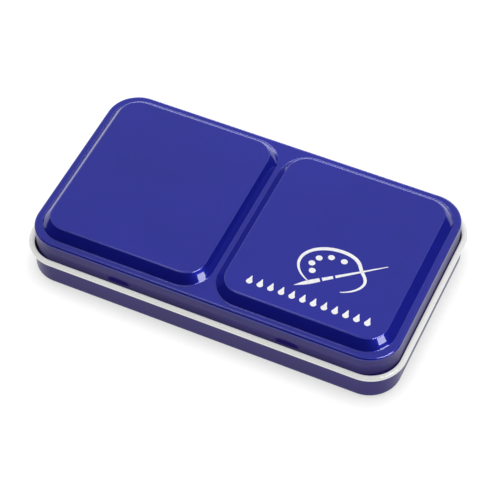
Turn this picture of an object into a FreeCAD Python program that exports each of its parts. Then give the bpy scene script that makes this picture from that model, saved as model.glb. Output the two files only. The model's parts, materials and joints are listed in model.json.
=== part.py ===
import FreeCAD, Part
import math
import os

# Watercolour pan set in a hinged metal tin, modelled closed.
# Units are millimetres. The origin is on the table, under the middle of the tin.
# X runs along the tin, -Y is its opening front, +Y its hinge side, +Z up.

Vec = FreeCAD.Vector

# ---- Tin as a whole ---------------------------------------------------------
overall_length = 125.0      # across the rolled rim, along X
overall_width = 71.5        # across the rolled rim, along Y
closed_height = 21.2        # table to the top of the raised panels
sheet = 0.3                 # tinplate of the tray and the lid

# ---- Base tray --------------------------------------------------------------
rim_diameter = 1.75         # rolled rim around the tray's mouth
tray_corner_radius = 10.1   # outside of the wall
tray_bottom_radius = 1.5    # outside, between wall and floor

# ---- Lid --------------------------------------------------------------------
lid_clearance = 0.3         # between the lid and the tray, wherever they pass
skirt_reach = 2.2           # how far the skirt dips below the middle of the rim
lid_corner_radius = 10.4    # outside of the skirt
shoulder_radius = 0.9       # outside, between skirt and land
land_width = 2.25           # from the skirt to the foot of a raised panel
gully_width = 1.0           # between the feet of the two panels
panel_rise = 3.05           # land to panel top
panel_slope_run = 3.0       # how far a panel's sides lean in over that rise
panel_corner_radius = 9.2   # at the foot of the slope
panel_edge_radius = 0.6     # outside, around the panel top
panel_foot_radius = 0.6     # outside, at the foot of the slope

# ---- Stop bumps pressed into the front of the skirt -------------------------
bump_length = 8.0
bump_height = 2.6
bump_proud = 0.5
bump_offset = 28.0          # from the middle of the tin to each bump

# ---- Hinge on the back rim --------------------------------------------------
hinge_wire_play = 0.12      # between the wire and the inside of the rolled rim
knuckle_play = 0.08         # between the wire and a lid knuckle
knuckle_length = 12.0
knuckle_offset = 30.0       # from the middle of the tin to each knuckle
wire_overlap = 6.0          # wire held in the rim beyond each knuckle

# ---- Rack for the pans ------------------------------------------------------
rack_sheet = 0.4
rack_margin = 0.35          # from the rack's edge to the tray's bottom bend
rail_height = 6.5           # above the rack's plate
rail_gap = 0.1              # between a rail and its pans
tongue_width = 6.0          # spring tongue beside each pan
tongue_slot = 0.8
tongue_root = 1.5           # uncut rail under a tongue
stop_width = 9.0            # upright tab at each end of a row

# ---- Pans and paint ---------------------------------------------------------
pans_per_row = 6
row_end_room = 2.55         # from the inside of the tray's end to the first pan's place
row_side_room = 6.0         # from the inside of the tray's long wall to the pans
pan_gap = 0.4               # between neighbouring pans
pan_width = 16.0            # along Y, at the top
pan_height = 9.5
pan_draft = 0.5             # how far each side leans in towards the bottom
pan_corner_radius = 1.6     # at the top, outside
pan_wall = 0.9
pan_floor = 1.0
paint_drop = 1.1            # paint surface below the pan's top edge

paint_names = [
    "lemon_yellow", "warm_yellow", "orange", "vermilion", "carmine", "violet",
    "ultramarine", "sky_blue", "emerald_green", "sap_green", "burnt_sienna", "lamp_black",
]

# ---- Derived: tray ----------------------------------------------------------
# The hinge line is at half the closed height, so the opened lid lies flat on the table.
rim_radius = rim_diameter / 2
rim_hollow_radius = rim_radius - sheet
rim_z = closed_height / 2
rim_half_x = overall_length / 2 - rim_radius
rim_half_y = overall_width / 2 - rim_radius
mouth_half_x = rim_half_x - rim_radius
mouth_half_y = rim_half_y - rim_radius
mouth_corner_radius = tray_corner_radius - sheet

# ---- Derived: lid -----------------------------------------------------------
skirt_half_x = mouth_half_x - lid_clearance
skirt_half_y = mouth_half_y - lid_clearance
skirt_bottom_z = rim_z - skirt_reach
land_z = closed_height - panel_rise
panel_half_x = (skirt_half_x - land_width - gully_width / 2) / 2
panel_half_y = skirt_half_y - land_width
panel_center_x = gully_width / 2 + panel_half_x
slope_length = math.hypot(panel_slope_run, panel_rise)

# ---- Derived: hinge ---------------------------------------------------------
hinge_y = rim_half_y
wire_radius = rim_hollow_radius - hinge_wire_play
knuckle_bore_radius = wire_radius + knuckle_play
knuckle_radius = knuckle_bore_radius + sheet

# ---- Derived: rack and pans -------------------------------------------------
rack_top_z = sheet + rack_sheet
row_half_length = mouth_half_x - row_end_room
pan_pitch = 2 * row_half_length / pans_per_row
pan_length = pan_pitch - pan_gap
row_center_y = mouth_half_y - row_side_room - pan_width / 2
rail_offset = pan_width / 2 + rail_gap


def box(x_low, x_high, y_low, y_high, z_low, z_high):
    """Axis-aligned box between two corners."""
    return Part.makeBox(x_high - x_low, y_high - y_low, z_high - z_low, Vec(x_low, y_low, z_low))


def rounded_block(half_x, half_y, radius, z_low, z_high):
    """Upright block, centred on the origin, with rounded vertical edges."""
    block = box(-half_x, half_x, -half_y, half_y, z_low, z_high)
    upright = [edge for edge in block.Edges if abs(edge.tangentAt(edge.FirstParameter).z) > 0.9]
    return block.makeFillet(radius, upright)


def leaning_block(half_x, half_y, radius, z_low, z_high, lean):
    """Rounded block whose sides lean in by lean (or out, if negative) from z_low to z_high."""
    core_x = half_x - radius
    core_y = half_y - radius

    def section(half):
        low = [(-half, z_low), (half, z_low)]
        high = [(half - lean, z_high), (lean - half, z_high)]
        return low + high

    across_y = [Vec(-core_x, y, z) for y, z in section(half_y)]
    across_x = [Vec(x, -core_y, z) for x, z in section(half_x)]
    along_x = Part.Face(Part.makePolygon(across_y + across_y[:1])).extrude(Vec(2 * core_x, 0, 0))
    along_y = Part.Face(Part.makePolygon(across_x + across_x[:1])).extrude(Vec(0, 2 * core_y, 0))
    cones = []
    for x in (-core_x, core_x):
        for y in (-core_y, core_y):
            cones.append(Part.makeCone(radius, radius - lean, z_high - z_low, Vec(x, y, z_low)))
    return along_x.fuse([along_y] + cones).removeSplitter()


def edges_at(shape, z, half_x, half_y):
    """Edges that lie flat at height z, within half_x and half_y of the middle."""
    found = []
    for edge in shape.Edges:
        corners = [vertex.Point for vertex in edge.Vertexes]
        flat = all(abs(point.z - z) < 0.001 for point in corners)
        inside = all(abs(point.x) < half_x and abs(point.y) < half_y for point in corners)
        if flat and inside:
            found.append(edge)
    return found


def wall_section():
    """Half section of the tray: floor, bottom bend, wall and rolled rim, as a face in XZ.

    X is measured outwards from the centre of the corner's rounding.
    """
    inside = mouth_corner_radius
    outside = tray_corner_radius
    rim_x = inside + rim_radius
    bend = tray_bottom_radius
    inner_bend = tray_bottom_radius - sheet
    slant = math.sqrt(0.5)
    lip_z = rim_z - math.sqrt(rim_radius ** 2 - (rim_x - outside) ** 2)

    def point(x, z):
        return Vec(x, 0, z)

    def line(start, end):
        return Part.LineSegment(start, end).toShape()

    def arc(start, middle, end):
        return Part.Arc(start, middle, end).toShape()

    floor_start = point(0, 0)
    floor_end = point(outside - bend, 0)
    wall_start = point(outside, bend)
    bend_middle = point(outside - bend + bend * slant, bend - bend * slant)
    lip = point(outside, lip_z)
    rim_side = point(inside, rim_z)
    rim_far = point(rim_x + rim_radius, rim_z)
    inner_wall_start = point(inside, bend)
    inner_middle = point(outside - bend + inner_bend * slant, bend - inner_bend * slant)
    inner_floor_end = point(outside - bend, sheet)
    inner_floor_start = point(0, sheet)
    outline = Part.Wire([
        line(floor_start, floor_end),
        arc(floor_end, bend_middle, wall_start),
        line(wall_start, lip),
        arc(lip, point(rim_x, rim_z - rim_radius), rim_far),
        arc(rim_far, point(rim_x, rim_z + rim_radius), rim_side),
        line(rim_side, inner_wall_start),
        arc(inner_wall_start, inner_middle, inner_floor_end),
        line(inner_floor_end, inner_floor_start),
        line(inner_floor_start, floor_start),
    ])
    hollow = Part.Wire(Part.makeCircle(rim_hollow_radius, point(rim_x, rim_z), Vec(0, 1, 0)))
    return Part.Face(outline).cut(Part.Face(hollow))


def make_base_tray():
    """Drawn tray with a rolled rim, notched at the back for the lid's knuckles."""
    core_x = mouth_half_x - mouth_corner_radius
    core_y = mouth_half_y - mouth_corner_radius
    section = wall_section()
    up = Vec(0, 0, 1)
    pieces = [box(-core_x, core_x, -core_y, core_y, 0, sheet)]
    corners = [(core_x, core_y, 0), (-core_x, core_y, 90), (-core_x, -core_y, 180), (core_x, -core_y, 270)]
    for x, y, turn in corners:
        start = section.copy()
        start.rotate(Vec(0, 0, 0), up, turn)
        start.translate(Vec(x, y, 0))
        pieces.append(start.revolve(Vec(x, y, 0), up, 90))
        side = 2 * core_y if turn in (0, 180) else 2 * core_x
        radians = math.radians(turn)
        pieces.append(start.extrude(Vec(side * math.sin(radians), -side * math.cos(radians), 0)))
    tray = pieces[0].fuse(pieces[1:]).removeSplitter()
    notch_half = knuckle_length / 2 + lid_clearance
    notch_floor = rim_z - knuckle_radius - lid_clearance
    for x in (-knuckle_offset, knuckle_offset):
        notch = box(x - notch_half, x + notch_half,
                    mouth_half_y - lid_clearance, hinge_y + rim_diameter,
                    notch_floor, rim_z + rim_diameter)
        tray = tray.cut(notch)
    return tray


def lid_form(inset, bottom_z):
    """Solid form of the lid, with every surface moved in by inset."""
    half_x = skirt_half_x - inset
    half_y = skirt_half_y - inset
    top_z = land_z - inset
    form = rounded_block(half_x, half_y, lid_corner_radius - inset, bottom_z, top_z)
    form = form.makeFillet(shoulder_radius - inset, edges_at(form, top_z, half_x + 1, half_y + 1))
    slope_shift = inset * (slope_length - panel_slope_run) / panel_rise
    for side in (-1, 1):
        panel = leaning_block(panel_half_x - slope_shift, panel_half_y - slope_shift,
                              panel_corner_radius - slope_shift, top_z, top_z + panel_rise,
                              panel_slope_run)
        panel.translate(Vec(side * panel_center_x, 0, 0))
        form = form.fuse(panel)
    form = form.removeSplitter()
    foot_edges = edges_at(form, top_z, half_x - land_width / 2, half_y - land_width / 2)
    form = form.makeFillet(panel_foot_radius + inset, foot_edges)
    top_edges = edges_at(form, top_z + panel_rise, half_x, half_y)
    return form.makeFillet(panel_edge_radius - inset, top_edges)


def bump_roller(radius, center_y, center_z):
    """Rod with ball ends, from which a stop bump is cut."""
    reach = bump_length / 2 - bump_height / 2
    rod = Part.makeCylinder(radius, 2 * reach, Vec(-reach, center_y, center_z), Vec(1, 0, 0))
    balls = [Part.makeSphere(radius, Vec(x, center_y, center_z)) for x in (-reach, reach)]
    return rod.fuse(balls).removeSplitter()


def add_stop_bumps(lid):
    """Press the two bumps outwards in the front of the skirt, just above the tray's rim."""
    radius = ((bump_height / 2) ** 2 + bump_proud ** 2) / (2 * bump_proud)
    center_y = -skirt_half_y - bump_proud + radius
    center_z = rim_z + rim_radius + lid_clearance + bump_height / 2
    front = box(-bump_length, bump_length, -skirt_half_y - bump_height, -skirt_half_y + sheet / 2,
                center_z - bump_height, center_z + bump_height)
    dent_room = box(-bump_length, bump_length, -skirt_half_y - bump_height, -skirt_half_y + sheet,
                    center_z - bump_height, center_z + bump_height)
    outside = bump_roller(radius, center_y, center_z).common(front)
    inside = bump_roller(radius - sheet, center_y, center_z).common(dent_room)
    for x in (-bump_offset, bump_offset):
        place = Vec(x, 0, 0)
        lid = lid.fuse(outside.translated(place)).cut(inside.translated(place))
    return lid


def add_knuckles(lid):
    """Add the two tongues at the back of the skirt that curl around the hinge wire."""
    for x in (-knuckle_offset, knuckle_offset):
        start = Vec(x - knuckle_length / 2, hinge_y, rim_z)
        barrel = Part.makeCylinder(knuckle_radius, knuckle_length, start, Vec(1, 0, 0))
        tongue = box(x - knuckle_length / 2, x + knuckle_length / 2, skirt_half_y - sheet, hinge_y,
                     rim_z + knuckle_bore_radius, rim_z + knuckle_radius)
        bore = Part.makeCylinder(knuckle_bore_radius, knuckle_length, start, Vec(1, 0, 0))
        lid = lid.fuse([barrel, tongue]).cut(bore)
    return lid


def make_lid():
    """Pressed lid: skirt, land and two raised panels that are mixing wells inside."""
    lid = lid_form(0, skirt_bottom_z).cut(lid_form(sheet, skirt_bottom_z - 1))
    lid = add_stop_bumps(lid)
    return add_knuckles(lid).removeSplitter()


def make_hinge_wire():
    """Straight steel wire inside the back rim, through both knuckles."""
    half_length = knuckle_offset + knuckle_length / 2 + wire_overlap
    return Part.makeCylinder(wire_radius, 2 * half_length, Vec(-half_length, hinge_y, rim_z), Vec(1, 0, 0))


def pan_center(number):
    """Centre, on the rack's plate, of pan number 0 to 11: front row first, left to right."""
    row, place = divmod(number, pans_per_row)
    x = -row_half_length + pan_pitch * (place + 0.5)
    y = row_center_y if row else -row_center_y
    return Vec(x, y, rack_top_z)


def make_rail(y_inside, outward):
    """Upright rail beside a row, cut into a spring tongue for each pan."""
    y_low = min(y_inside, y_inside + outward * rack_sheet)
    rail = box(-row_half_length, row_half_length, y_low, y_low + rack_sheet,
               rack_top_z, rack_top_z + rail_height)
    slots = []
    for place in range(pans_per_row):
        x = pan_center(place).x
        for side in (-1, 1):
            slot_x = x + side * (tongue_width + tongue_slot) / 2
            slots.append(box(slot_x - tongue_slot / 2, slot_x + tongue_slot / 2, y_low - 1, y_low + 1,
                             rack_top_z + tongue_root, rack_top_z + rail_height + 1))
    return rail.cut(slots)


def make_pan_rack():
    """Folded tinplate rack: a plate with two rails and two end stops for each row."""
    margin = tray_bottom_radius - sheet + rack_margin
    pieces = [rounded_block(mouth_half_x - margin, mouth_half_y - margin,
                            mouth_corner_radius - margin, sheet, rack_top_z)]
    for row_y in (-row_center_y, row_center_y):
        for side in (-1, 1):
            pieces.append(make_rail(row_y + side * rail_offset, side))
            x_low = row_half_length if side > 0 else -row_half_length - rack_sheet
            pieces.append(box(x_low, x_low + rack_sheet, row_y - stop_width / 2, row_y + stop_width / 2,
                              rack_top_z, rack_top_z + rail_height))
    return pieces[0].fuse(pieces[1:]).removeSplitter()


def pan_cavity(height):
    """Inside of a pan, up to the given height above its floor."""
    depth = pan_height - pan_floor
    lean = pan_draft * depth / pan_height
    hollow = leaning_block(pan_length / 2 - pan_wall - lean, pan_width / 2 - pan_wall - lean,
                           pan_corner_radius - pan_wall / 2 - lean, pan_floor, pan_height, -lean)
    below = box(-pan_length, pan_length, -pan_width, pan_width, 0, pan_floor + height)
    return hollow.common(below)


def make_pan():
    """Moulded half pan, open at the top, standing on z = 0."""
    outside = leaning_block(pan_length / 2 - pan_draft, pan_width / 2 - pan_draft,
                            pan_corner_radius - pan_draft, 0, pan_height, -pan_draft)
    return outside.cut(pan_cavity(pan_height))


def make_paint():
    """Cake of paint that fills a pan to just below its edge."""
    return pan_cavity(pan_height - pan_floor - paint_drop)


def write(name, shape):
    shape.exportStep(os.path.join("parts", name + ".step"))


os.makedirs("parts", exist_ok=True)
write("base_tray", make_base_tray())
write("lid", make_lid())
write("hinge_wire", make_hinge_wire())
write("pan_rack", make_pan_rack())
pan = make_pan()
paint = make_paint()
for number, paint_name in enumerate(paint_names):
    write("pan_%02d" % (number + 1), pan.translated(pan_center(number)))
    write("paint_%02d_%s" % (number + 1, paint_name), paint.translated(pan_center(number)))
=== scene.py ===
import json
import math

import bmesh
import bpy
from mathutils import Matrix, Quaternion, Vector, noise


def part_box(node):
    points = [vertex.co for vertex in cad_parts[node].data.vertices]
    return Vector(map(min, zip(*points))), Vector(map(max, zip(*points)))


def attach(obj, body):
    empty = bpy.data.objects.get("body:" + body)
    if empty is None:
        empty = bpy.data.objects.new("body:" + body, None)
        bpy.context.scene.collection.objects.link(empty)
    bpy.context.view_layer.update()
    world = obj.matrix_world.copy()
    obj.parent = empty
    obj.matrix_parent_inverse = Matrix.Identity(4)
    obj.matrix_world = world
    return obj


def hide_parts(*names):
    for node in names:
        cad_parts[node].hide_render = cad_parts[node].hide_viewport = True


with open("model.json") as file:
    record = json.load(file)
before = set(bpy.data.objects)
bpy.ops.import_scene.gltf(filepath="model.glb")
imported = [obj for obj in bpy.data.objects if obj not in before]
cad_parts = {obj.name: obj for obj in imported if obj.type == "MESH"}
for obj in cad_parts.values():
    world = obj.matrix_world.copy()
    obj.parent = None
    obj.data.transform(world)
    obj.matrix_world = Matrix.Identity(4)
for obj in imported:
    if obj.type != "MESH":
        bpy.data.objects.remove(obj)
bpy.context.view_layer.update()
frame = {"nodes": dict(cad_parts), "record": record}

# Looks of the watercolour pan set. Sizes are in millimetres unless their comment says metres;
# meshes are scaled to metres when they become objects.
MM = 0.001


def node_box(node):
    """Lowest and highest corner of a CAD node, in millimetres."""
    low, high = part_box(node)
    return low / MM, high / MM


tray_high = node_box("base_tray")[1]
lid_low, lid_high = node_box("lid")
wire_low, wire_high = node_box("hinge_wire")
node_names = sorted(frame["nodes"])
pan_names = [name for name in node_names if name.startswith("pan_") and name != "pan_rack"]
paint_names = [name for name in node_names if name.startswith("paint_")]
tolerance = 0.001              # for comparing places and directions

# Where a material stands in the lid's and the tray's lists of materials.
outside_part = 0
inside_part = 1
band_part = 2                  # the lid's skirt and the tray's rim

# ---- Tin --------------------------------------------------------------------
sheet = 0.3
rim_z = (wire_low.z + wire_high.z) / 2
rim_radius = tray_high.z - rim_z
closed_height = lid_high.z
mouth_half_x = tray_high.x - 2 * rim_radius
mouth_half_y = tray_high.y - 2 * rim_radius
mouth_corner_radius = 9.8
tray_bottom_radius = 1.5
curl_end_angle = -126.0        # degrees; where the rolled rim stops, just off the wall
lid_clearance = mouth_half_x - lid_high.x

# ---- Lid --------------------------------------------------------------------
skirt_half_x = mouth_half_x - lid_clearance
skirt_half_y = mouth_half_y - lid_clearance
skirt_bottom_z = lid_low.z
skirt_hem = 1.2                # top of the first row of faces, above the skirt's lower edge
lid_corner_radius = 10.4
shoulder_radius = 0.9
shoulder_lead = 0.15           # narrow row of faces just below the shoulder
land_width = 2.25
gully_width = 1.5
panel_rise = 3.05
panel_slope_run = 2.75
panel_corner_radius = 9.2
panel_edge_radius = 1.0
panel_foot_radius = 0.6
panel_bow = 0.05               # outward bow of a panel's slopes
panel_crown = 0.1              # how far the middle of a panel stands above its edges
panel_wave = 0.025             # unevenness of the pressed sheet
land_z = closed_height - panel_rise
panel_half_x = (skirt_half_x - land_width - gully_width / 2) / 2
panel_half_y = skirt_half_y - land_width
panel_center_x = gully_width / 2 + panel_half_x
slope_angle = math.degrees(math.atan2(panel_rise, panel_slope_run))
fillet_setback = math.tan(math.radians(slope_angle / 2))

# ---- Stop bumps -------------------------------------------------------------
bump_length = 9.4
bump_height = 1.9
bump_proud = 0.7
bump_ridge = 0.36              # height of the ridge, as a share of the bump's height
bump_offset = 28.0
bump_margin = 0.6              # closely divided skirt beyond each end of a bump
bump_low_z = rim_z + rim_radius + lid_clearance
bump_ridge_z = bump_low_z + bump_height * bump_ridge

# ---- Hinge ------------------------------------------------------------------
hinge_y = (wire_low.y + wire_high.y) / 2
knuckle_play = 0.08
knuckle_bore = (wire_high.z - wire_low.z) / 2 + knuckle_play
knuckle_radius = knuckle_bore + sheet
knuckle_length = 12.0
knuckle_offset = 30.0
knuckle_curl_end = -206.0      # degrees; where a knuckle's curl around the wire stops
knuckle_bevel = 0.05
tongue_margin = 0.3            # from each end of a knuckle's tongue to the next point along it
notch_half = knuckle_length / 2 + lid_clearance
notch_floor_z = rim_z - knuckle_radius - lid_clearance

# ---- Print ------------------------------------------------------------------
print_proud = 0.02             # ink above the enamel
palette_center = Vector((32.5, -9.4))
palette_half_x = 10.8
palette_half_y = 7.6
palette_start = -62.0          # degrees
palette_sweep = 304.0          # degrees
palette_dent = 0.16            # depth of the thumb's dent, as a share of the half sizes
palette_dent_angle = 30.0      # degrees
palette_dent_spread = 26.0     # degrees
palette_thin = 0.25            # width of the outline at its ends
palette_swell = 0.95           # how much wider it is in the middle
palette_fullness = 0.7         # below 1, the outline widens sooner
blot_angles = (75, 110, 145, 180, 215)
blot_ring_x = 6.9
blot_ring_y = 4.5
blot_radius_x = 1.05
blot_radius_y = 0.95
brush_start = Vector((47.0, -1.5))
brush_end = Vector((24.0, -19.2))
brush_hair_swell = 0.7
# A brush's parts: where each starts and ends as shares of its length, and its widths there.
brush_handle = (0.0, 0.56, 0.25, 1.0)
brush_ferrule = (0.585, 0.70, 1.05, 1.2)
brush_hair = (0.725, 1.0, 1.3, 0.05)
drop_first_x = 11.4
drop_pitch = 3.45
drop_y = -23.2
drop_radius = 1.0
drop_point = 1.1               # how far a drop is drawn out upwards, as a share of its radius
drop_narrowing = 0.45          # how much narrower it gets towards its point, for a drop_point of 1

# ---- Pans -------------------------------------------------------------------
pan_draft = 0.5
pan_corner_radius = 1.6
pan_wall = 0.9
pan_floor = 1.0
pan_foot_radius = 0.3
pan_edge_radius = 0.2
pan_lip = 0.12                 # how far the lip around a pan's top stands out
pan_lip_height = 1.0
pan_lip_slope = 0.1            # its underside slopes out from this far below it to half as far up
pan_outside_row = 3.0          # height of the row of points on a pan's outer wall
pan_inside_row = 4.0           # and on its inner wall

# ---- Paint ------------------------------------------------------------------
paint_sink = 0.12              # middle of a cake below its CAD node's top
paint_climb = 0.45             # how high the paint clings to the pan's walls
paint_climb_width = 0.55
paint_swell = 0.16             # height of the broad unevenness
paint_swell_size = 4.0
paint_grit = 0.03              # height of the fine unevenness
paint_grit_size = 0.9
paint_noise_step = 9.0         # distance in the noise from one cake to the next
paint_brim = 0.5               # height of the band just below a cake's top edge

# ---- Rack -------------------------------------------------------------------
rack_bevel = 0.08
weld_distance = 0.002

# ---- Studio -----------------------------------------------------------------
floor_radius = 6.0             # metres
floor_level = 0.99             # light the bare floor gives off
shadow_level = 0.67            # and where it meets the tin
shadow_reach = 0.008           # metres
sun_spread = 30.0              # degrees
card_distance = 0.8            # metres
room_level = 0.003             # light from the dim parts of the room
glow_level = 2.0               # light from the rim of the soft glow
glow_dip = 1.42                # how much dimmer the middle of the glow is
glow_toward = Vector((-0.20, 0.40, 0.89))
# Cosines of the angle from the glow's middle, over which it starts and over which it dips.
glow_edge = (0.50, 0.61)
glow_core = (0.61, 0.72)

# ---- View -------------------------------------------------------------------
camera_azimuth = 25.95         # degrees
camera_elevation = 51.43       # degrees
camera_roll = -1.30            # degrees
camera_distance = 0.5894       # metres
camera_aim = Vector((-0.00029, 0.00173, 0.00135))    # metres
camera_lens = 135.0
camera_sensor = 36.0


# ---- Mesh building ----------------------------------------------------------
def arc(center_u, center_z, radius, start, end, steps):
    """Points (u, z) along an arc between two angles in degrees, both ends included."""
    points = []
    for step in range(steps + 1):
        angle = math.radians(start + (end - start) * step / steps)
        points.append((center_u + radius * math.cos(angle), center_z + radius * math.sin(angle)))
    return points


def evenly(low, high, pieces):
    """Values strictly between low and high that cut the span into equal pieces."""
    return [low + (high - low) * step / pieces for step in range(1, pieces)]


def stations(core_x, core_y, center=(0.0, 0.0), front=(), back=(), sides=(), corner_steps=12):
    """Places around a rounded rectangle, anticlockwise from its front side.

    Each is a point on the core rectangle and the direction outwards from it. front and back
    are extra x values on the long sides, and sides are extra y values on the short ones.
    """
    places = []

    def corner(x, y, turn):
        """Quarter turn around a corner of the core, from turn degrees."""
        for step in range(corner_steps + 1):
            angle = math.radians(turn + 90 * step / corner_steps)
            places.append((Vector((x, y)), Vector((math.cos(angle), math.sin(angle)))))

    def straight(points, outward):
        """Places that all face outward."""
        for x, y in points:
            places.append((Vector((x, y)), Vector(outward)))

    straight([(x, -core_y) for x in sorted(front)], (0, -1))
    corner(core_x, -core_y, -90)
    straight([(core_x, y) for y in sorted(sides)], (1, 0))
    corner(core_x, core_y, 0)
    straight([(x, core_y) for x in sorted(back, reverse=True)], (0, 1))
    corner(-core_x, core_y, 90)
    straight([(-core_x, y) for y in sorted(sides, reverse=True)], (-1, 0))
    corner(-core_x, -core_y, 180)
    middle = Vector(center)
    return [(core + middle, outward) for core, outward in places]


def ring(bm, places, reach, z):
    """Closed row of vertices, reach out from the core at height z."""
    return [bm.verts.new((*(core + outward * reach), z)) for core, outward in places]


def bridge(bm, first, second, material=0, skip=()):
    """Quads between two rings of the same length, except at the columns in skip."""
    count = len(first)
    for column in range(count):
        if column in skip:
            continue
        after = (column + 1) % count
        face = bm.faces.new((first[column], first[after], second[after], second[column]))
        face.material_index = material


def loft(bm, places, profile, material=0):
    """Rings along a profile of (reach, z) points, joined by quads. Returns the rings."""
    rings = [ring(bm, places, reach, z) for reach, z in profile]
    for first, second in zip(rings, rings[1:]):
        bridge(bm, first, second, material)
    return rings


def fill_inwards(bm, edge, center, steps, height, material=0):
    """Rings that shrink from edge to center, closed by a fan. height gives z at (x, y)."""
    outline = [vertex.co.copy() for vertex in edge]
    previous = edge
    for step in range(1, steps):
        share = 1 - step / steps
        row = []
        for point in outline:
            x = center[0] + (point.x - center[0]) * share
            y = center[1] + (point.y - center[1]) * share
            row.append(bm.verts.new((x, y, height(x, y))))
        bridge(bm, previous, row, material)
        previous = row
    tip = bm.verts.new((center[0], center[1], height(center[0], center[1])))
    for column, vertex in enumerate(previous):
        face = bm.faces.new((vertex, previous[(column + 1) % len(previous)], tip))
        face.material_index = material


def fill_between(bm, rings, material=0):
    """Flat faces between one outer ring and the rings inside it."""
    edges = []
    for row in rings:
        for column, vertex in enumerate(row):
            edges.append(bm.edges.get((vertex, row[(column + 1) % len(row)])))
    made = bmesh.ops.triangle_fill(bm, use_beauty=True, use_dissolve=False, edges=edges)
    for part in made["geom"]:
        if isinstance(part, bmesh.types.BMFace):
            part.material_index = material


def make_object(name, bm, materials, body, smooth_angle=32.0, bevel=0.0):
    """Object in metres from a mesh built in millimetres, riding on a body."""
    bmesh.ops.recalc_face_normals(bm, faces=bm.faces)
    bm.transform(Matrix.Diagonal((MM, MM, MM, 1.0)))
    mesh = bpy.data.meshes.new(name)
    bm.to_mesh(mesh)
    bm.free()
    for material in materials:
        mesh.materials.append(material)
    mesh.shade_smooth()
    mesh.set_sharp_from_angle(angle=math.radians(smooth_angle))
    piece = bpy.data.objects.new(name, mesh)
    bpy.context.scene.collection.objects.link(piece)
    if bevel:
        rounding = piece.modifiers.new("rounding", "BEVEL")
        rounding.width = bevel * MM
        rounding.segments = 2
        rounding.limit_method = "ANGLE"
        rounding.harden_normals = True
    weighted = piece.modifiers.new("weighted", "WEIGHTED_NORMAL")
    weighted.keep_sharp = True
    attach(piece, body)
    return piece


# ---- Material building ------------------------------------------------------
def new_material(name):
    """Material with a principled shader. Returns the material, its node tree and the shader."""
    material = bpy.data.materials.new(name)
    material.use_nodes = True
    tree = material.node_tree
    return material, tree, tree.nodes["Principled BSDF"]


def add_node(tree, kind, values=(), **settings):
    """Node with the given settings. A socket's value may be another node's output."""
    made = tree.nodes.new(kind)
    for setting, value in settings.items():
        setattr(made, setting, value)
    for socket, value in dict(values).items():
        if isinstance(value, bpy.types.NodeSocket):
            tree.links.new(value, made.inputs[socket])
        else:
            made.inputs[socket].default_value = value
    return made


def noise_at(tree, size, detail=2.0, stretch=(1.0, 1.0, 1.0), shift=0.0):
    """Noise over the object, with features of about the given size in millimetres."""
    where = add_node(tree, "ShaderNodeTexCoord").outputs["Object"]
    placed = add_node(tree, "ShaderNodeMapping", {
        "Vector": where, "Location": (shift, shift, shift), "Scale": stretch,
    })
    made = add_node(tree, "ShaderNodeTexNoise", {
        "Vector": placed.outputs["Vector"], "Scale": 1 / (size * MM), "Detail": detail,
    })
    return made.outputs["Fac"]


def spread(tree, value, low, high, start=0.3, end=0.7):
    """value between start and end, mapped to low and high."""
    made = add_node(tree, "ShaderNodeMapRange", {
        "Value": value, "From Min": start, "From Max": end, "To Min": low, "To Max": high,
    })
    return made.outputs["Result"]


def color_between(tree, value, first, second, start=0.35, end=0.65):
    """Colour that goes from first to second as value goes from start to end."""
    made = add_node(tree, "ShaderNodeValToRGB", {"Fac": value})
    made.color_ramp.elements[0].position = start
    made.color_ramp.elements[0].color = (*first, 1.0)
    made.color_ramp.elements[1].position = end
    made.color_ramp.elements[1].color = (*second, 1.0)
    return made.outputs["Color"]


def bump(tree, height, depth, below=None):
    """Surface normal with relief of the given depth in millimetres, on top of another bump."""
    values = {"Height": height, "Distance": depth * MM, "Strength": 1.0}
    if below is not None:
        values["Normal"] = below
    return add_node(tree, "ShaderNodeBump", values).outputs["Normal"]


def connect(tree, shader, **sockets):
    """Link outputs to the shader's sockets; an underscore stands for a space."""
    for socket, output in sockets.items():
        tree.links.new(output, shader.inputs[socket.replace("_", " ")])


def set_values(shader, values):
    """Set values that are the same all over on the shader's own sockets."""
    for socket, value in values.items():
        shader.inputs[socket].default_value = value


def make_enamel(name, shade, tint, metallic=0.0, coat=1.0, coat_roughness=0.08, glow=0.0):
    """Glossy stoved lacquer on tinplate: clouded colour, orange peel and fine grain.

    glow is painted light: a constant light that the enamel gives off though it is no lamp, used to
    brighten the white rim.
    """
    material, tree, shader = new_material(name)
    cloud = noise_at(tree, 38.0, detail=3.0)
    grain = noise_at(tree, 0.55, detail=2.0, shift=3.0)
    skin = bump(tree, noise_at(tree, 1.3, detail=1.0), 0.001)
    skin = bump(tree, grain, 0.0003, skin)
    connect(tree, shader,
            Base_Color=color_between(tree, cloud, shade, tint),
            Roughness=spread(tree, grain, 0.34, 0.46),
            Normal=skin, Coat_Normal=skin)
    set_values(shader, {
        "Metallic": metallic, "Specular IOR Level": 0.04, "IOR": 1.45,
        "Coat Weight": coat, "Coat Roughness": coat_roughness, "Coat IOR": 1.52,
        "Emission Color": (1.0, 1.0, 0.98, 1.0), "Emission Strength": glow,
    })
    return material


def make_tinplate(name, color, scratch_stretch):
    """Bare rolled metal with fine rolling lines and uneven dullness."""
    material, tree, shader = new_material(name)
    lines = noise_at(tree, 0.35, detail=4.0, stretch=scratch_stretch)
    dull = noise_at(tree, 9.0, detail=3.0)
    darker = tuple(channel * 0.82 for channel in color)
    connect(tree, shader,
            Base_Color=color_between(tree, dull, darker, color),
            Roughness=spread(tree, lines, 0.22, 0.42),
            Normal=bump(tree, lines, 0.004))
    set_values(shader, {"Metallic": 1.0})
    return material


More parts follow.
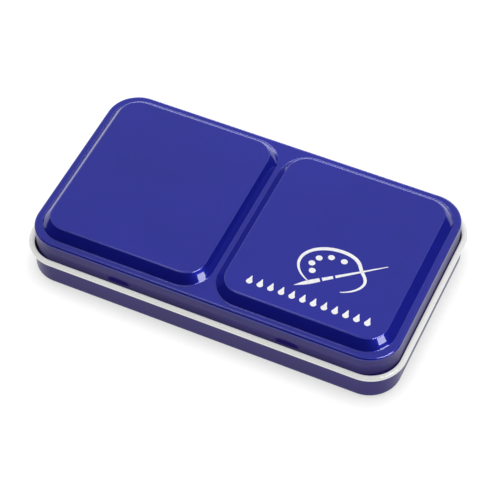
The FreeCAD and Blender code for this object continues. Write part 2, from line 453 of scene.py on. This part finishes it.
def make_plastic(name, shade, tint):
    """Moulded white plastic with a faint satin texture."""
    material, tree, shader = new_material(name)
    cloud = noise_at(tree, 6.0, detail=2.0)
    satin = noise_at(tree, 0.18, detail=2.0)
    connect(tree, shader,
            Base_Color=color_between(tree, cloud, shade, tint),
            Roughness=spread(tree, satin, 0.26, 0.4),
            Normal=bump(tree, satin, 0.004))
    set_values(shader, {"Subsurface Weight": 0.08, "Subsurface Radius": (0.8, 0.8, 0.8),
                        "Subsurface Scale": MM})
    return material


def make_paint(name, color, number):
    """Cast watercolour: pooled pigment, a pitted skin and a slight gum shine."""
    material, tree, shader = new_material(name)
    pool = noise_at(tree, 5.0, detail=4.0, shift=number * 0.7)
    pits = noise_at(tree, 0.5, detail=5.0, shift=number * 0.3)
    deep = tuple(channel * 0.72 for channel in color)
    light = tuple(min(channel * 1.12 + 0.004, 1.0) for channel in color)
    connect(tree, shader,
            Base_Color=color_between(tree, pool, deep, light),
            Roughness=spread(tree, pits, 0.34, 0.62),
            Normal=bump(tree, pits, 0.05))
    set_values(shader, {"Coat Weight": 0.3, "Coat Roughness": 0.22})
    return material


def make_ink():
    """White printing ink, slightly uneven over the enamel."""
    material, tree, shader = new_material("white_ink")
    mottle = noise_at(tree, 0.8, detail=3.0)
    connect(tree, shader,
            Base_Color=color_between(tree, mottle, (0.80, 0.80, 0.83), (0.88, 0.88, 0.90)),
            Roughness=spread(tree, mottle, 0.3, 0.42),
            Normal=bump(tree, mottle, 0.003))
    set_values(shader, {"Coat Weight": 0.5, "Coat Roughness": 0.1})
    return material


def slot_color(slot):
    """Base colour that the record gives a material slot."""
    for entry in frame["record"]["materials"]:
        if entry["slot"] == slot:
            return tuple(entry["base_color"][:3])
    raise KeyError(slot)


blue_enamel = make_enamel("blue_enamel", (0.0080, 0.0120, 0.275), (0.0100, 0.0140, 0.310),
                          metallic=0.34, coat_roughness=0.035)
# Painted shade: a darker, redder and less glossy copy of the blue enamel for the lid's skirt and the
# tray's outer walls.
side_enamel_painted_shade = make_enamel("side_enamel_painted_shade", (0.0190, 0.0090, 0.150), (0.0220, 0.0110, 0.180),
                          metallic=0.20, coat=0.42, coat_roughness=0.07)
white_enamel = make_enamel("white_enamel", (0.64, 0.64, 0.63), (0.69, 0.69, 0.69))
# Painted glow: the white rim gives off a constant light to brighten it, over a darker base colour.
rim_enamel_painted_glow = make_enamel("rim_enamel_painted_glow", (0.32, 0.32, 0.31), (0.35, 0.35, 0.34), glow=0.50)
steel_wire = make_tinplate("steel_wire", (0.56, 0.55, 0.53), (0.05, 1.0, 1.0))
tinplate = make_tinplate("tinplate", (0.78, 0.77, 0.74), (0.06, 1.0, 1.0))
pan_plastic = make_plastic("pan_plastic", (0.78, 0.78, 0.75), (0.84, 0.84, 0.82))
white_ink = make_ink()


# ---- Lid --------------------------------------------------------------------
def panel_height(x, y):
    """Height of a raised panel's top: a slight crown with the waves of pressed sheet."""
    across = (abs(x) - panel_center_x) / (panel_half_x - panel_slope_run)
    along = y / (panel_half_y - panel_slope_run)
    fade = max(0.0, 1 - across ** 2) * max(0.0, 1 - along ** 2)
    wave = noise.noise(Vector((x, y, 5.0)) / 17.0)
    return closed_height + fade * (panel_crown + panel_wave * wave)


def bump_push(x, z):
    """How far the skirt is pressed out at this place on its front."""
    across = min(1.0, abs(abs(x) - bump_offset) / (bump_length / 2))
    above = z - bump_ridge_z
    if above > 0:
        drop = above / (bump_height * (1 - bump_ridge))
    else:
        drop = -above / (bump_height * bump_ridge)
    return bump_proud * max(0.0, 1 - across ** 4 - drop)


def skirt_places():
    """Stations around the lid, close together where the bumps are."""
    core_x = skirt_half_x - lid_corner_radius
    core_y = skirt_half_y - lid_corner_radius
    room = bump_length / 2 + bump_margin
    front = []
    for x in (-bump_offset, bump_offset):
        front += [x - room, x + room] + evenly(x - room, x + room, 46)
    front += evenly(room - bump_offset, bump_offset - room, 20)
    front += evenly(-core_x, -bump_offset - room, 8) + evenly(bump_offset + room, core_x, 8)
    return stations(core_x, core_y, front=front, back=evenly(-core_x, core_x, 40),
                    sides=evenly(-core_y, core_y, 18), corner_steps=28)


def panel_places(side):
    """Stations around one raised panel."""
    core_x = panel_half_x - panel_corner_radius
    core_y = panel_half_y - panel_corner_radius
    marks = evenly(-core_x, core_x, 16)
    return stations(core_x, core_y, (side * panel_center_x, 0.0), marks, marks,
                    evenly(-core_y, core_y, 18), corner_steps=24)


def bowed(start, end, bow, pieces):
    """Points between start and end of a profile, bowed outwards by bow in the middle."""
    run = end[0] - start[0]
    rise = end[1] - start[1]
    length = math.hypot(run, rise)
    points = []
    for share in evenly(0.0, 1.0, pieces):
        lift = bow * 4 * share * (1 - share)
        points.append((start[0] + run * share + lift * rise / length,
                       start[1] + rise * share - lift * run / length))
    return points


def lid_surface(bm, inset, material):
    """One face of the lid's sheet, moved in by inset. Returns its lowest ring."""
    places = skirt_places()
    skirt_reach = lid_corner_radius - inset
    shoulder_start = land_z - shoulder_radius
    bump_high = bump_low_z + bump_height
    levels = [skirt_bottom_z + sheet / 2, skirt_bottom_z + skirt_hem, bump_low_z]
    levels += evenly(bump_low_z, bump_ridge_z, 8) + [bump_ridge_z]
    levels += evenly(bump_ridge_z, bump_high, 14) + [bump_high]
    levels += evenly(bump_high, shoulder_start, 4) + [shoulder_start - shoulder_lead]
    skirt = [(skirt_reach, z) for z in levels]
    shoulder = arc(lid_corner_radius - shoulder_radius, shoulder_start,
                   shoulder_radius - inset, 0, 90, 10)
    rings = loft(bm, places, skirt + shoulder, material)
    # The skirt below the shoulder takes the side enamel, a darker copy of the blue: painted shade.
    if material == outside_part:
        for face in bm.faces:
            if all(vertex.co.z < shoulder_start + tolerance for vertex in face.verts):
                face.material_index = band_part
    for row in rings[:len(levels)]:
        for vertex in row:
            if vertex.co.y < inset - skirt_half_y + tolerance:
                vertex.co.y -= bump_push(vertex.co.x, vertex.co.z)
    foot_reach = panel_corner_radius + panel_foot_radius * fillet_setback
    edge_reach = panel_corner_radius - panel_slope_run - panel_edge_radius * fillet_setback
    foot = arc(foot_reach, land_z + panel_foot_radius, panel_foot_radius + inset,
               270, 270 - slope_angle, 6)
    edge = arc(edge_reach, closed_height - panel_edge_radius, panel_edge_radius - inset,
               90 - slope_angle, 90, 7)
    profile = foot + bowed(foot[-1], edge[0], panel_bow, 8) + edge
    flat_rings = [rings[-1]]
    for side in (-1, 1):
        panel = loft(bm, panel_places(side), profile, material)
        flat_rings.append(panel[0])
        fill_inwards(bm, panel[-1], (side * panel_center_x, 0.0), 16,
                     lambda x, y: panel_height(x, y) - inset, material)
    fill_between(bm, flat_rings, material)
    return rings[0]


def make_lid():
    """Pressed lid, blue outside and white inside, with a rounded cut edge below."""
    bm = bmesh.new()
    outside = lid_surface(bm, 0.0, outside_part)
    inside = lid_surface(bm, sheet, inside_part)
    places = skirt_places()
    half = sheet / 2
    middle = lid_corner_radius - half
    edge = arc(middle, skirt_bottom_z + half, half, 0, -180, 6)[1:-1]
    rings = [outside] + [ring(bm, places, reach, z) for reach, z in edge] + [inside]
    turn = len(rings) // 2
    for number, (first, second) in enumerate(zip(rings, rings[1:])):
        bridge(bm, first, second, outside_part if number < turn else inside_part)
    lid = make_object("lid_shell", bm, [blue_enamel, white_enamel, side_enamel_painted_shade], "lid")
    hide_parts("lid")


def strip_outline(path, half, bulge=0.7):
    """Closed outline of a strip that follows a path, with ends that bulge by a share of half."""
    left = []
    right = []
    for number, point in enumerate(path):
        before = Vector(path[max(number - 1, 0)])
        after = Vector(path[min(number + 1, len(path) - 1)])
        along = (after - before).normalized()
        across = Vector((-along.y, along.x)) * half
        left.append(Vector(point) + across)
        right.append(Vector(point) - across)
    start_along = (Vector(path[0]) - Vector(path[1])).normalized()
    end_along = (Vector(path[-1]) - Vector(path[-2])).normalized()
    start_cap = [Vector(path[0]) + start_along * half * bulge]
    end_cap = [Vector(path[-1]) + end_along * half * bulge]
    return left + end_cap + right[::-1] + start_cap


def extrude_outline(bm, outline, x_low, x_high, margin=0.1):
    """Prism along X from an outline of (y, z) points, with a narrow band at each end."""
    columns = [x_low, x_low + margin, x_high - margin, x_high]
    rows = [[bm.verts.new((x, y, z)) for y, z in outline] for x in columns]
    for first, second in zip(rows, rows[1:]):
        bridge(bm, first, second)
    bm.faces.new(rows[0])
    bm.faces.new(rows[-1][::-1])


def make_knuckles():
    """Two tongues at the back of the lid, curled around the hinge wire."""
    radius = (knuckle_bore + knuckle_radius) / 2
    start_y = skirt_half_y - sheet / 2
    tongue_z = rim_z + radius
    tongue_ys = (start_y, start_y + tongue_margin, hinge_y - tongue_margin)
    tongue = [(y, tongue_z) for y in tongue_ys]
    curl = arc(hinge_y, rim_z, radius, 90, knuckle_curl_end, 40)
    for name, x in (("lid_knuckle_left", -knuckle_offset), ("lid_knuckle_right", knuckle_offset)):
        bm = bmesh.new()
        extrude_outline(bm, strip_outline(tongue + curl, sheet / 2),
                        x - knuckle_length / 2, x + knuckle_length / 2)
        knuckle = make_object(name, bm, [blue_enamel], "lid", bevel=knuckle_bevel)
        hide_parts("lid")


# ---- Print on the lid -------------------------------------------------------
def add_stroke(bm, points, widths):
    """Flat ribbon on the right panel along points, as wide as widths say."""
    pairs = []
    for number, point in enumerate(points):
        before = Vector(points[max(number - 1, 0)])
        after = Vector(points[min(number + 1, len(points) - 1)])
        along = (after - before).normalized()
        across = Vector((-along.y, along.x)) * widths[number] / 2
        pair = []
        for edge in (Vector(point) + across, Vector(point) - across):
            pair.append(bm.verts.new((edge.x, edge.y, panel_height(edge.x, edge.y))))
        pairs.append(pair)
    for first, second in zip(pairs, pairs[1:]):
        bm.faces.new((first[0], first[1], second[1], second[0]))


def add_blot(bm, x, y, radius_x, radius_y, point=0.0, steps=28):
    """Oval dot, drawn out to a narrower point at its top if point is more than 0."""
    row = []
    for step in range(steps):
        angle = 2 * math.pi * step / steps
        upward = max(0.0, math.sin(angle))
        narrowing = 1 - drop_narrowing * point * upward
        edge_x = x + radius_x * math.cos(angle) * narrowing
        edge_y = y + radius_y * (math.sin(angle) + point * upward ** 3)
        row.append(bm.verts.new((edge_x, edge_y, panel_height(edge_x, edge_y))))
    tip = bm.verts.new((x, y, panel_height(x, y)))
    for column, vertex in enumerate(row):
        bm.faces.new((vertex, row[(column + 1) % steps], tip))


def add_palette(bm, steps=60):
    """Open outline of a palette, with a dent for the thumb, and its blots."""
    outline = []
    widths = []
    for step in range(steps + 1):
        share = step / steps
        degrees = palette_start + palette_sweep * share
        angle = math.radians(degrees)
        from_dent = (degrees - palette_dent_angle) / palette_dent_spread
        scale = 1 - palette_dent * math.exp(-from_dent ** 2)
        outline.append((palette_center.x + palette_half_x * scale * math.cos(angle),
                        palette_center.y + palette_half_y * scale * math.sin(angle)))
        fullness = math.sin(math.pi * share) ** palette_fullness
        widths.append(palette_thin + palette_swell * fullness)
    add_stroke(bm, outline, widths)
    for blot_angle in blot_angles:
        angle = math.radians(blot_angle)
        add_blot(bm, palette_center.x + blot_ring_x * math.cos(angle),
                 palette_center.y + blot_ring_y * math.sin(angle), blot_radius_x, blot_radius_y)


def add_brush_part(bm, first, last, wide_start, wide_end, swell=0.0, steps=12):
    """One part of the brush, between two shares of its length, wider in the middle by swell."""
    points = []
    widths = []
    for step in range(steps + 1):
        share = step / steps
        points.append(brush_start.lerp(brush_end, first + (last - first) * share))
        fullness = swell * math.sin(math.pi * share)
        widths.append(wide_start + (wide_end - wide_start) * share + fullness)
    add_stroke(bm, points, widths)


def make_print():
    """White print: an open palette, a slim brush and a row of paint drops, one for each pan."""
    bm = bmesh.new()
    add_palette(bm)
    add_brush_part(bm, *brush_handle)
    add_brush_part(bm, *brush_ferrule)
    add_brush_part(bm, *brush_hair, swell=brush_hair_swell)
    for number in range(len(paint_names)):
        add_blot(bm, drop_first_x + drop_pitch * number, drop_y, drop_radius, drop_radius, drop_point)
    bmesh.ops.recalc_face_normals(bm, faces=bm.faces)
    bmesh.ops.solidify(bm, geom=bm.faces, thickness=2 * print_proud)
    for vertex in bm.verts:
        vertex.co.z += print_proud
    make_object("lid_print", bm, [white_ink], "lid")


# ---- Tray -------------------------------------------------------------------
def tray_places():
    """Stations around the tray, with one at each side of the knuckles' notches."""
    core_x = mouth_half_x - mouth_corner_radius
    core_y = mouth_half_y - mouth_corner_radius
    near = knuckle_offset - notch_half
    far = knuckle_offset + notch_half
    back = evenly(-near, near, 16) + evenly(-core_x, -far, 6) + evenly(far, core_x, 6)
    for x in (-knuckle_offset, knuckle_offset):
        back += [x - notch_half, x, x + notch_half]
    return stations(core_x, core_y, front=evenly(-core_x, core_x, 40), back=back,
                    sides=evenly(-core_y, core_y, 20), corner_steps=28)


def notched_columns(places):
    """Numbers of the columns of faces that the knuckles' notches leave out."""
    columns = set()
    for column, (core, outward) in enumerate(places):
        following = places[(column + 1) % len(places)][0]
        middle_x = (core.x + following.x) / 2
        at_back = outward.y > 1 - tolerance
        if at_back and abs(abs(middle_x) - knuckle_offset) < notch_half:
            columns.add(column)
    return columns


def make_tray():
    """Drawn tray with a rolled rim, notched at the back for the knuckles."""
    wall_out = mouth_corner_radius + sheet
    bend_reach = wall_out - tray_bottom_radius
    rim_reach = mouth_corner_radius + rim_radius
    notch_middle_z = (notch_floor_z + rim_z) / 2
    outer = arc(bend_reach, tray_bottom_radius, tray_bottom_radius, -90, 0, 8)
    outer += [(wall_out, z) for z in evenly(tray_bottom_radius, notch_floor_z, 5)]
    notch_start = len(outer)
    outer += [(wall_out, notch_floor_z), (wall_out, notch_middle_z)]
    outer += arc(rim_reach, rim_z, rim_radius - sheet, 180, curl_end_angle, 26)
    inner = arc(rim_reach, rim_z, rim_radius, curl_end_angle, 180, 30)
    rim_end = len(outer) + len(inner)
    inner += [(mouth_corner_radius, notch_middle_z), (mouth_corner_radius, notch_floor_z)]
    notch_end = len(outer) + len(inner) - 1
    inner += [(mouth_corner_radius, z) for z in evenly(notch_floor_z, tray_bottom_radius, 5)]
    inner += arc(bend_reach, tray_bottom_radius, tray_bottom_radius - sheet, 0, -90, 6)
    bm = bmesh.new()
    places = tray_places()
    notched = notched_columns(places)
    rings = [ring(bm, places, reach, z) for reach, z in outer + inner]
    for number, (first, second) in enumerate(zip(rings, rings[1:])):
        if number < len(outer):
            part = outside_part
        # The rolled rim takes the rim enamel, which gives off a painted glow.
        elif number < rim_end:
            part = band_part
        else:
            part = inside_part
        inside_notch = notch_start <= number < notch_end
        bridge(bm, first, second, part, notched if inside_notch else ())
    for column in sorted(notched):
        after = column + 1
        bm.faces.new((rings[notch_start][column], rings[notch_start][after],
                      rings[notch_end][after], rings[notch_end][column]))
        for edge, neighbour in ((column, column - 1), (after, after)):
            if neighbour not in notched:
                bm.faces.new([row[edge] for row in rings[notch_start:notch_end + 1]])
    fill_inwards(bm, rings[0], (0.0, 0.0), 10, lambda x, y: 0.0, outside_part)
    fill_inwards(bm, rings[-1], (0.0, 0.0), 10, lambda x, y: sheet, inside_part)
    # The tray's outer walls take the side enamel, a darker copy of the blue: painted shade.
    tray = make_object("tray_shell", bm, [side_enamel_painted_shade, white_enamel, rim_enamel_painted_glow], "base")
    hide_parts("base_tray")


# ---- Pans and paint ---------------------------------------------------------
def pan_places(low, high):
    """Stations around one pan, from its node's corners."""
    center = (low + high) / 2
    core_x = (high.x - low.x) / 2 - pan_corner_radius
    core_y = (high.y - low.y) / 2 - pan_corner_radius
    marks_x = evenly(-core_x, core_x, 8)
    marks_y = evenly(-core_y, core_y, 7)
    return stations(core_x, core_y, (center.x, center.y), marks_x, marks_x, marks_y, corner_steps=6)


def make_pan(name):
    """Moulded half pan with a small lip, leaning sides and a rounded inside."""
    low, high = node_box(name)
    tall = high.z - low.z
    places = pan_places(low, high)
    center = ((low.x + high.x) / 2, (low.y + high.y) / 2)

    def outside(z):
        """Reach of the leaning outer wall at height z."""
        return pan_corner_radius - pan_draft * (high.z - z) / tall

    foot_reach = outside(low.z) - pan_foot_radius
    outside_row_z = low.z + pan_outside_row
    inside_row_z = low.z + pan_inside_row
    floor_z = low.z + pan_floor
    lip_low_z = high.z - pan_lip_height
    edge_z = high.z - pan_edge_radius
    profile = arc(foot_reach, low.z + pan_foot_radius, pan_foot_radius, -90, 0, 3)
    profile += [(outside(outside_row_z), outside_row_z)]
    profile += [(outside(lip_low_z - pan_lip_slope), lip_low_z - pan_lip_slope)]
    profile += [(outside(lip_low_z) + pan_lip, lip_low_z + pan_lip_slope / 2)]
    profile += arc(pan_corner_radius + pan_lip - pan_edge_radius, edge_z, pan_edge_radius, 0, 90, 4)
    profile += arc(pan_corner_radius - pan_wall + pan_edge_radius, edge_z, pan_edge_radius, 90, 180, 4)
    profile += [(outside(inside_row_z) - pan_wall, inside_row_z)]
    profile += [(outside(floor_z) - pan_wall, floor_z)]
    bm = bmesh.new()
    rings = loft(bm, places, profile)
    fill_inwards(bm, rings[0], center, 3, lambda x, y: low.z)
    fill_inwards(bm, rings[-1], center, 3, lambda x, y: floor_z)
    pan = make_object(name + "_shell", bm, [pan_plastic], "base")
    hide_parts(name)


def make_cake(name, pan_name, number):
    """Cake of paint cast in its pan: it climbs the walls and sinks in the middle."""
    low, high = node_box(name)
    pan_low, pan_high = node_box(pan_name)
    tall = pan_high.z - pan_low.z
    places = pan_places(pan_low, pan_high)
    center = ((low.x + high.x) / 2, (low.y + high.y) / 2)
    half_x = (high.x - low.x) / 2
    half_y = (high.y - low.y) / 2

    def reach(z):
        """Reach of the pan's inner wall at height z."""
        return pan_corner_radius - pan_draft * (pan_high.z - z) / tall - pan_wall

    def surface(x, y):
        """Height of the cake's top."""
        edge = min(half_x - abs(x - center[0]), half_y - abs(y - center[1]))
        climb = paint_climb * math.exp(-max(edge, 0.0) / paint_climb_width)
        place = Vector((x, y, number * paint_noise_step))
        swell = paint_swell * noise.noise(place / paint_swell_size)
        grit = paint_grit * noise.noise(place / paint_grit_size)
        return high.z - paint_sink + climb + (swell + grit)

    bm = bmesh.new()
    rows = loft(bm, places, [(reach(z), z) for z in (low.z, high.z - paint_brim, high.z)])
    for vertex in rows[-1]:
        vertex.co.z = surface(vertex.co.x, vertex.co.y)
    fill_inwards(bm, rows[0], center, 2, lambda x, y: low.z)
    fill_inwards(bm, rows[-1], center, 22, surface)
    slot = "paint_" + name.split("_", 2)[2]
    material = make_paint(slot, slot_color(slot), number)
    cake = make_object(name + "_cake", bm, [material], "base", smooth_angle=50.0)
    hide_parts(name)


# ---- Rack and wire ----------------------------------------------------------
def finish_cad_node(name, material, bevel=0.0):
    """Give a CAD node that stays its material, and rounded edges if bevel is more than 0."""
    piece = frame["nodes"][name]
    if not piece.material_slots:
        piece.data.materials.append(material)
    for slot in piece.material_slots:
        slot.link = "OBJECT"
        slot.material = material
    if bevel:
        weld = piece.modifiers.new("weld", "WELD")
        weld.merge_threshold = weld_distance * MM
        rounding = piece.modifiers.new("rounding", "BEVEL")
        rounding.width = bevel * MM
        rounding.segments = 2
        rounding.limit_method = "ANGLE"


# ---- Studio -----------------------------------------------------------------
def make_floor(steps=64):
    """Plain pale floor that gives off its own light, less of it close around the tin's foot."""
    bm = bmesh.new()
    row = []
    for step in range(steps):
        angle = 2 * math.pi * step / steps
        row.append(bm.verts.new((floor_radius * math.cos(angle), floor_radius * math.sin(angle), 0.0)))
    bm.faces.new(row)
    mesh = bpy.data.meshes.new("floor")
    bm.to_mesh(mesh)
    bm.free()
    material, tree, shader = new_material("floor_paper")
    fibre = noise_at(tree, 2.0, detail=2.0)
    # The occlusion dims the floor's own light close to the tin: a painted contact shadow.
    occlusion = add_node(tree, "ShaderNodeAmbientOcclusion", {"Distance": shadow_reach}, samples=8)
    level = spread(tree, occlusion.outputs["AO"], shadow_level, floor_level, start=0.45, end=0.95)
    connect(tree, shader,
            Base_Color=color_between(tree, fibre, (0.12, 0.12, 0.12), (0.14, 0.14, 0.14)),
            Emission_Strength=level)
    set_values(shader, {
        "Roughness": 0.95, "Specular IOR Level": 0.0,
        "Emission Color": (1.0, 1.0, 1.0, 1.0),
    })
    mesh.materials.append(material)
    floor = bpy.data.objects.new("floor", mesh)
    bpy.context.scene.collection.objects.link(floor)


def add_lamp(name, kind, toward, strength, distance=1.0):
    """Lamp that shines at the origin from the given direction, distance metres away."""
    lamp = bpy.data.lights.new(name, kind)
    lamp.energy = strength
    holder = bpy.data.objects.new(name, lamp)
    direction = Vector(toward).normalized()
    holder.location = direction * distance
    holder.rotation_mode = "QUATERNION"
    holder.rotation_quaternion = direction.to_track_quat("Z", "Y")
    bpy.context.scene.collection.objects.link(holder)
    return holder


def add_sun(name, toward, strength):
    """Large distant soft source that doesn't show as a reflection."""
    holder = add_lamp(name, "SUN", toward, strength)
    holder.data.angle = math.radians(sun_spread)
    holder.visible_glossy = False


def add_card(name, toward, radiance, width, height, roll=0.0):
    """Bright card that shows only as a reflection. width and height are in metres, roll in degrees."""
    power = radiance * math.pi * width * height
    holder = add_lamp(name, "AREA", toward, power, card_distance)
    holder.data.shape = "RECTANGLE"
    holder.data.size = width
    holder.data.size_y = height
    holder.rotation_quaternion @= Quaternion((0, 0, 1), math.radians(roll))
    holder.visible_diffuse = False


def make_world():
    """Dim room with a soft glow above and behind the tin, brighter around its rim.

    The camera itself sees a pale backdrop in every direction, like the floor.
    """
    world = bpy.data.worlds.new("studio")
    world.use_nodes = True
    tree = world.node_tree
    where = add_node(tree, "ShaderNodeTexCoord").outputs["Generated"]
    toward = add_node(tree, "ShaderNodeVectorMath", {0: where, 1: glow_toward.normalized()},
                      operation="DOT_PRODUCT").outputs["Value"]
    outer = spread(tree, toward, room_level, glow_level, *glow_edge)
    inner = spread(tree, toward, 0.0, glow_dip, *glow_core)
    glow = add_node(tree, "ShaderNodeMath", {0: outer, 1: inner}, operation="SUBTRACT")
    seen = add_node(tree, "ShaderNodeLightPath").outputs["Is Camera Ray"]
    pale = add_node(tree, "ShaderNodeMath", {0: glow.outputs["Value"], 1: seen}, operation="MAXIMUM")
    background = tree.nodes["Background"]
    background.inputs["Color"].default_value = (1.0, 1.0, 1.0, 1.0)
    tree.links.new(pale.outputs["Value"], background.inputs["Strength"])
    bpy.context.scene.world = world


def make_lights():
    """Soft suns light the matt part of the enamel; cards and the room light its gloss."""
    add_sun("left", toward=(-0.80, 0.42, 0.30), strength=0.3)
    add_sun("back", toward=(0.05, 0.75, 0.66), strength=1.7)
    add_sun("right", toward=(0.45, 0.10, 0.89), strength=0.5)
    add_card("top_card", toward=(-0.27, 0.16, 0.95), radiance=3.0, width=0.30, height=0.14)
    add_card("back_card", toward=(-0.22, 0.88, 0.36), radiance=5.0, width=0.60, height=0.16)
    add_card("corner_card", toward=(0.87, -0.18, 0.42), radiance=9.5, width=0.36, height=0.13,
             roll=-14.0)
    add_card("arc_card", toward=(0.70, -0.16, 0.75), radiance=30.0, width=0.50, height=0.09,
             roll=-16.0)
    make_world()


def make_camera():
    """Camera at the photograph's viewing angle."""
    azimuth = math.radians(camera_azimuth)
    elevation = math.radians(camera_elevation)
    roll = math.radians(camera_roll)
    back = Vector((math.sin(azimuth) * math.cos(elevation),
                   -math.cos(azimuth) * math.cos(elevation), math.sin(elevation)))
    level = Vector((math.cos(azimuth), math.sin(azimuth), 0.0))
    upward = back.cross(level)
    right = level * math.cos(roll) + upward * math.sin(roll)
    top = upward * math.cos(roll) - level * math.sin(roll)
    lens = bpy.data.cameras.new("camera")
    lens.lens = camera_lens
    lens.sensor_width = camera_sensor
    lens.clip_start = 0.01
    lens.clip_end = 50.0
    camera = bpy.data.objects.new("camera", lens)
    turn = Matrix((right, top, back)).transposed().to_4x4()
    camera.matrix_world = Matrix.Translation(camera_aim + back * camera_distance) @ turn
    bpy.context.scene.collection.objects.link(camera)
    bpy.context.scene.camera = camera


make_camera()
make_lid()
make_knuckles()
make_print()
make_tray()
for pan_number, (pan_name, paint_name) in enumerate(zip(pan_names, paint_names)):
    make_pan(pan_name)
    make_cake(paint_name, pan_name, pan_number)
finish_cad_node("hinge_wire", steel_wire)
finish_cad_node("pan_rack", tinplate, rack_bevel)
make_floor()
make_lights()
bpy.context.scene.view_settings.view_transform = "Standard"
